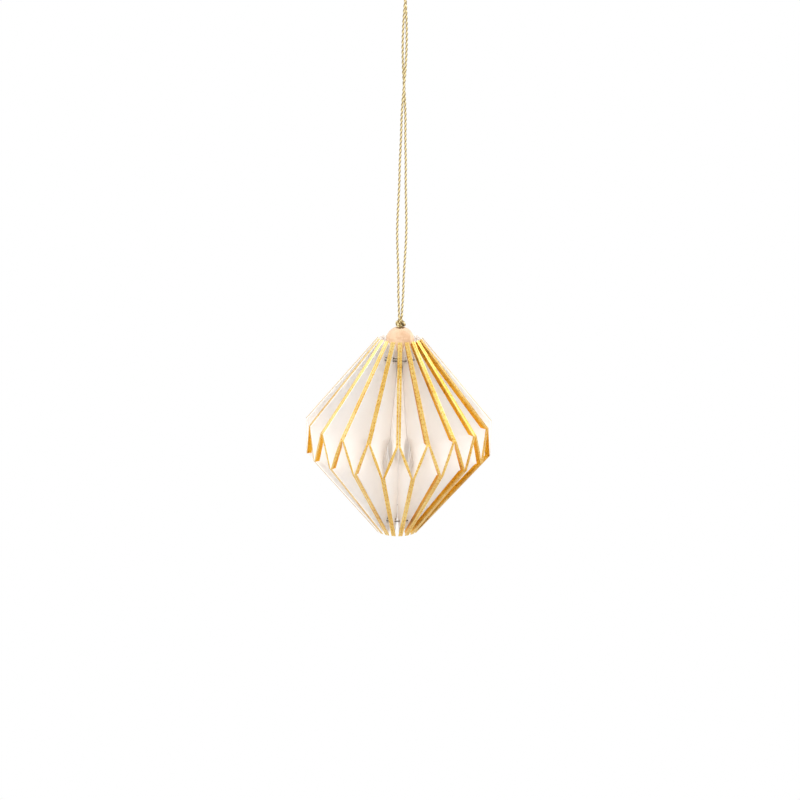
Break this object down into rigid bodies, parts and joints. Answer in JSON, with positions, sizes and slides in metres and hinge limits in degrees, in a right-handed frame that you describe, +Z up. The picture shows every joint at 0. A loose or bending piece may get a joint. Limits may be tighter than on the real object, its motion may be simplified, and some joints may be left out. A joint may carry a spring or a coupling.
{
  "type": "folding card hanging bauble",
  "caption": "Onion-shaped hanging bauble of white card leaves with gold edges that fans open round two wire rings and folds flat, with a wooden bead and gold cord.",
  "frame": {"origin": "the point inside the top of the cord's loop where a hook bears", "axes": "+Z up along the bauble's axis, -Y towards the front leaf pair"},
  "size_m": [0.0712, 0.0712, 0.2309],
  "materials": {
    "white_card": "matte white card with gilded outer edge",
    "wire": "thin bright wire",
    "wood": "smooth pale wood",
    "grey_board": "grey board",
    "gold_cord": "twisted metallic gold cord",
    "white_foam": "white sticky foam dot"
  },
  "bodies": {
    "cord": {"hanging_cord": "gold_cord", "stop_disc": "grey_board"},
    "bead": {"wooden_bead": "wood"},
    "rings": {"upper_ring": "wire", "lower_ring": "wire"},
    "leaf_01": {"leaf_01": "white_card"},
    "leaf_02": {"leaf_02": "white_card"},
    "leaf_03": {"leaf_03": "white_card"},
    "leaf_04": {"leaf_04": "white_card"},
    "leaf_05": {"leaf_05": "white_card"},
    "leaf_06": {"leaf_06": "white_card"},
    "leaf_07": {"leaf_07": "white_card"},
    "leaf_08": {"leaf_08": "white_card"},
    "leaf_09": {"leaf_09": "white_card"},
    "leaf_10": {"leaf_10": "white_card"},
    "leaf_11": {"leaf_11": "white_card"},
    "leaf_12": {"leaf_12": "white_card"},
    "leaf_13": {"leaf_13": "white_card"},
    "leaf_14": {"leaf_14": "white_card"},
    "leaf_15": {"leaf_15": "white_card"},
    "leaf_16": {"leaf_16": "white_card"},
    "leaf_17": {"leaf_17": "white_card"},
    "leaf_18": {"leaf_18": "white_card"},
    "leaf_19": {"leaf_19": "white_card"},
    "leaf_20": {"leaf_20": "white_card"},
    "leaf_21": {"leaf_21": "white_card"},
    "leaf_22": {"leaf_22": "white_card"},
    "leaf_23": {"leaf_23": "white_card"},
    "leaf_24": {"leaf_24": "white_card"},
    "leaf_25": {"leaf_25": "white_card"},
    "leaf_26": {"leaf_26": "white_card"},
    "leaf_27": {"leaf_27": "white_card"},
    "leaf_28": {"leaf_28": "white_card"},
    "leaf_29": {"leaf_29": "white_card"},
    "leaf_30": {"leaf_30": "white_card"},
    "leaf_31": {"leaf_31": "white_card"},
    "leaf_32": {"leaf_32": "white_card"},
    "leaf_33": {"leaf_33": "white_card"},
    "leaf_34": {"leaf_34": "white_card"},
    "leaf_35": {"leaf_35": "white_card"},
    "leaf_36": {"leaf_36": "white_card"},
    "leaf_37": {"leaf_37": "white_card"},
    "leaf_38": {"leaf_38": "white_card"},
    "leaf_39": {"leaf_39": "white_card"},
    "leaf_40": {"leaf_40": "white_card", "closing_dot": "white_foam"}
  },
  "joints": [
    {"name": "lantern_turn", "type": "hinge", "parent": "cord", "child": "rings", "pos_m": [0, 0, -0.19129], "axis": [0, 0, 1], "continuous": true},
    {"name": "bead_turn", "type": "hinge", "parent": "cord", "child": "bead", "pos_m": [0, 0, -0.15379], "axis": [0, 0, 1], "continuous": true},
    {"name": "fold", "type": "hinge", "parent": "rings", "child": "leaf_21", "pos_m": [0.00025, -0.00318, -0.19129], "axis": [0, 0, -1], "range_deg": [0, 9], "deforming": ["leaf_01", "leaf_02", "leaf_03", "leaf_04", "leaf_05", "leaf_06", "leaf_07", "leaf_08", "leaf_09", "leaf_10", "leaf_11", "leaf_12", "leaf_13", "leaf_14", "leaf_15", "leaf_16", "leaf_17", "leaf_18", "leaf_19", "leaf_20", "leaf_21", "leaf_22", "leaf_23", "leaf_24", "leaf_25", "leaf_26", "leaf_27", "leaf_28", "leaf_29", "leaf_30", "leaf_31", "leaf_32", "leaf_33", "leaf_34", "leaf_35", "leaf_36", "leaf_37", "leaf_38", "leaf_39", "leaf_40", "upper_ring", "lower_ring"]},
    {"name": "fold_right_02", "type": "hinge", "parent": "leaf_21", "child": "leaf_22", "pos_m": [0.00074, -0.0031, -0.19129], "axis": [0, 0, -1], "range_deg": [0, 9]},
    {"name": "fold_right_03", "type": "hinge", "parent": "leaf_22", "child": "leaf_23", "pos_m": [0.00122, -0.00294, -0.19129], "axis": [0, 0, -1], "range_deg": [0, 9]},
    {"name": "fold_right_04", "type": "hinge", "parent": "leaf_23", "child": "leaf_24", "pos_m": [0.00166, -0.00272, -0.19129], "axis": [0, 0, -1], "range_deg": [0, 9]},
    {"name": "fold_right_05", "type": "hinge", "parent": "leaf_24", "child": "leaf_25", "pos_m": [0.00207, -0.00242, -0.19129], "axis": [0, 0, -1], "range_deg": [0, 9]},
    {"name": "fold_right_06", "type": "hinge", "parent": "leaf_25", "child": "leaf_26", "pos_m": [0.00242, -0.00207, -0.19129], "axis": [0, 0, -1], "range_deg": [0, 9]},
    {"name": "fold_right_07", "type": "hinge", "parent": "leaf_26", "child": "leaf_27", "pos_m": [0.00272, -0.00166, -0.19129], "axis": [0, 0, -1], "range_deg": [0, 9]},
    {"name": "fold_right_08", "type": "hinge", "parent": "leaf_27", "child": "leaf_28", "pos_m": [0.00294, -0.00122, -0.19129], "axis": [0, 0, -1], "range_deg": [0, 9]},
    {"name": "fold_right_09", "type": "hinge", "parent": "leaf_28", "child": "leaf_29", "pos_m": [0.0031, -0.00074, -0.19129], "axis": [0, 0, -1], "range_deg": [0, 9]},
    {"name": "fold_right_10", "type": "hinge", "parent": "leaf_29", "child": "leaf_30", "pos_m": [0.00318, -0.00025, -0.19129], "axis": [0, 0, -1], "range_deg": [0, 9]},
    {"name": "fold_right_11", "type": "hinge", "parent": "leaf_30", "child": "leaf_31", "pos_m": [0.00318, 0.00025, -0.19129], "axis": [0, 0, -1], "range_deg": [0, 9]},
    {"name": "fold_right_12", "type": "hinge", "parent": "leaf_31", "child": "leaf_32", "pos_m": [0.0031, 0.00074, -0.19129], "axis": [0, 0, -1], "range_deg": [0, 9]},
    {"name": "fold_right_13", "type": "hinge", "parent": "leaf_32", "child": "leaf_33", "pos_m": [0.00294, 0.00122, -0.19129], "axis": [0, 0, -1], "range_deg": [0, 9]},
    {"name": "fold_right_14", "type": "hinge", "parent": "leaf_33", "child": "leaf_34", "pos_m": [0.00272, 0.00166, -0.19129], "axis": [0, 0, -1], "range_deg": [0, 9]},
    {"name": "fold_right_15", "type": "hinge", "parent": "leaf_34", "child": "leaf_35", "pos_m": [0.00242, 0.00207, -0.19129], "axis": [0, 0, -1], "range_deg": [0, 9]},
    {"name": "fold_right_16", "type": "hinge", "parent": "leaf_35", "child": "leaf_36", "pos_m": [0.00207, 0.00242, -0.19129], "axis": [0, 0, -1], "range_deg": [0, 9]},
    {"name": "fold_right_17", "type": "hinge", "parent": "leaf_36", "child": "leaf_37", "pos_m": [0.00166, 0.00272, -0.19129], "axis": [0, 0, -1], "range_deg": [0, 9]},
    {"name": "fold_right_18", "type": "hinge", "parent": "leaf_37", "child": "leaf_38", "pos_m": [0.00122, 0.00294, -0.19129], "axis": [0, 0, -1], "range_deg": [0, 9]},
    {"name": "fold_right_19", "type": "hinge", "parent": "leaf_38", "child": "leaf_39", "pos_m": [0.00074, 0.0031, -0.19129], "axis": [0, 0, -1], "range_deg": [0, 9]},
    {"name": "fold_right_20", "type": "hinge", "parent": "leaf_39", "child": "leaf_40", "pos_m": [0.00025, 0.00318, -0.19129], "axis": [0, 0, -1], "range_deg": [0, 9]},
    {"name": "fold_left_01", "type": "hinge", "parent": "rings", "child": "leaf_20", "pos_m": [-0.00025, -0.00318, -0.19129], "axis": [0, 0, 1], "range_deg": [0, 9]},
    {"name": "fold_left_02", "type": "hinge", "parent": "leaf_20", "child": "leaf_19", "pos_m": [-0.00074, -0.0031, -0.19129], "axis": [0, 0, 1], "range_deg": [0, 9]},
    {"name": "fold_left_03", "type": "hinge", "parent": "leaf_19", "child": "leaf_18", "pos_m": [-0.00122, -0.00294, -0.19129], "axis": [0, 0, 1], "range_deg": [0, 9]},
    {"name": "fold_left_04", "type": "hinge", "parent": "leaf_18", "child": "leaf_17", "pos_m": [-0.00166, -0.00272, -0.19129], "axis": [0, 0, 1], "range_deg": [0, 9]},
    {"name": "fold_left_05", "type": "hinge", "parent": "leaf_17", "child": "leaf_16", "pos_m": [-0.00207, -0.00242, -0.19129], "axis": [0, 0, 1], "range_deg": [0, 9]},
    {"name": "fold_left_06", "type": "hinge", "parent": "leaf_16", "child": "leaf_15", "pos_m": [-0.00242, -0.00207, -0.19129], "axis": [0, 0, 1], "range_deg": [0, 9]},
    {"name": "fold_left_07", "type": "hinge", "parent": "leaf_15", "child": "leaf_14", "pos_m": [-0.00272, -0.00166, -0.19129], "axis": [0, 0, 1], "range_deg": [0, 9]},
    {"name": "fold_left_08", "type": "hinge", "parent": "leaf_14", "child": "leaf_13", "pos_m": [-0.00294, -0.00122, -0.19129], "axis": [0, 0, 1], "range_deg": [0, 9]},
    {"name": "fold_left_09", "type": "hinge", "parent": "leaf_13", "child": "leaf_12", "pos_m": [-0.0031, -0.00074, -0.19129], "axis": [0, 0, 1], "range_deg": [0, 9]},
    {"name": "fold_left_10", "type": "hinge", "parent": "leaf_12", "child": "leaf_11", "pos_m": [-0.00318, -0.00025, -0.19129], "axis": [0, 0, 1], "range_deg": [0, 9]},
    {"name": "fold_left_11", "type": "hinge", "parent": "leaf_11", "child": "leaf_10", "pos_m": [-0.00318, 0.00025, -0.19129], "axis": [0, 0, 1], "range_deg": [0, 9]},
    {"name": "fold_left_12", "type": "hinge", "parent": "leaf_10", "child": "leaf_09", "pos_m": [-0.0031, 0.00074, -0.19129], "axis": [0, 0, 1], "range_deg": [0, 9]},
    {"name": "fold_left_13", "type": "hinge", "parent": "leaf_09", "child": "leaf_08", "pos_m": [-0.00294, 0.00122, -0.19129], "axis": [0, 0, 1], "range_deg": [0, 9]},
    {"name": "fold_left_14", "type": "hinge", "parent": "leaf_08", "child": "leaf_07", "pos_m": [-0.00272, 0.00166, -0.19129], "axis": [0, 0, 1], "range_deg": [0, 9]},
    {"name": "fold_left_15", "type": "hinge", "parent": "leaf_07", "child": "leaf_06", "pos_m": [-0.00242, 0.00207, -0.19129], "axis": [0, 0, 1], "range_deg": [0, 9]},
    {"name": "fold_left_16", "type": "hinge", "parent": "leaf_06", "child": "leaf_05", "pos_m": [-0.00207, 0.00242, -0.19129], "axis": [0, 0, 1], "range_deg": [0, 9]},
    {"name": "fold_left_17", "type": "hinge", "parent": "leaf_05", "child": "leaf_04", "pos_m": [-0.00166, 0.00272, -0.19129], "axis": [0, 0, 1], "range_deg": [0, 9]},
    {"name": "fold_left_18", "type": "hinge", "parent": "leaf_04", "child": "leaf_03", "pos_m": [-0.00122, 0.00294, -0.19129], "axis": [0, 0, 1], "range_deg": [0, 9]},
    {"name": "fold_left_19", "type": "hinge", "parent": "leaf_03", "child": "leaf_02", "pos_m": [-0.00074, 0.0031, -0.19129], "axis": [0, 0, 1], "range_deg": [0, 9]},
    {"name": "fold_left_20", "type": "hinge", "parent": "leaf_02", "child": "leaf_01", "pos_m": [-0.00025, 0.00318, -0.19129], "axis": [0, 0, 1], "range_deg": [0, 9]}
  ],
  "couplings": [
    {"joint": "fold_right_02", "follows": "fold", "ratio": 1},
    {"joint": "fold_right_03", "follows": "fold", "ratio": 1},
    {"joint": "fold_right_04", "follows": "fold", "ratio": 1},
    {"joint": "fold_right_05", "follows": "fold", "ratio": 1},
    {"joint": "fold_right_06", "follows": "fold", "ratio": 1},
    {"joint": "fold_right_07", "follows": "fold", "ratio": 1},
    {"joint": "fold_right_08", "follows": "fold", "ratio": 1},
    {"joint": "fold_right_09", "follows": "fold", "ratio": 1},
    {"joint": "fold_right_10", "follows": "fold", "ratio": 1},
    {"joint": "fold_right_11", "follows": "fold", "ratio": 1},
    {"joint": "fold_right_12", "follows": "fold", "ratio": 1},
    {"joint": "fold_right_13", "follows": "fold", "ratio": 1},
    {"joint": "fold_right_14", "follows": "fold", "ratio": 1},
    {"joint": "fold_right_15", "follows": "fold", "ratio": 1},
    {"joint": "fold_right_16", "follows": "fold", "ratio": 1},
    {"joint": "fold_right_17", "follows": "fold", "ratio": 1},
    {"joint": "fold_right_18", "follows": "fold", "ratio": 1},
    {"joint": "fold_right_19", "follows": "fold", "ratio": 1},
    {"joint": "fold_right_20", "follows": "fold", "ratio": 1},
    {"joint": "fold_left_01", "follows": "fold", "ratio": 1},
    {"joint": "fold_left_02", "follows": "fold", "ratio": 1},
    {"joint": "fold_left_03", "follows": "fold", "ratio": 1},
    {"joint": "fold_left_04", "follows": "fold", "ratio": 1},
    {"joint": "fold_left_05", "follows": "fold", "ratio": 1},
    {"joint": "fold_left_06", "follows": "fold", "ratio": 1},
    {"joint": "fold_left_07", "follows": "fold", "ratio": 1},
    {"joint": "fold_left_08", "follows": "fold", "ratio": 1},
    {"joint": "fold_left_09", "follows": "fold", "ratio": 1},
    {"joint": "fold_left_10", "follows": "fold", "ratio": 1},
    {"joint": "fold_left_11", "follows": "fold", "ratio": 1},
    {"joint": "fold_left_12", "follows": "fold", "ratio": 1},
    {"joint": "fold_left_13", "follows": "fold", "ratio": 1},
    {"joint": "fold_left_14", "follows": "fold", "ratio": 1},
    {"joint": "fold_left_15", "follows": "fold", "ratio": 1},
    {"joint": "fold_left_16", "follows": "fold", "ratio": 1},
    {"joint": "fold_left_17", "follows": "fold", "ratio": 1},
    {"joint": "fold_left_18", "follows": "fold", "ratio": 1},
    {"joint": "fold_left_19", "follows": "fold", "ratio": 1},
    {"joint": "fold_left_20", "follows": "fold", "ratio": 1}
  ]
}
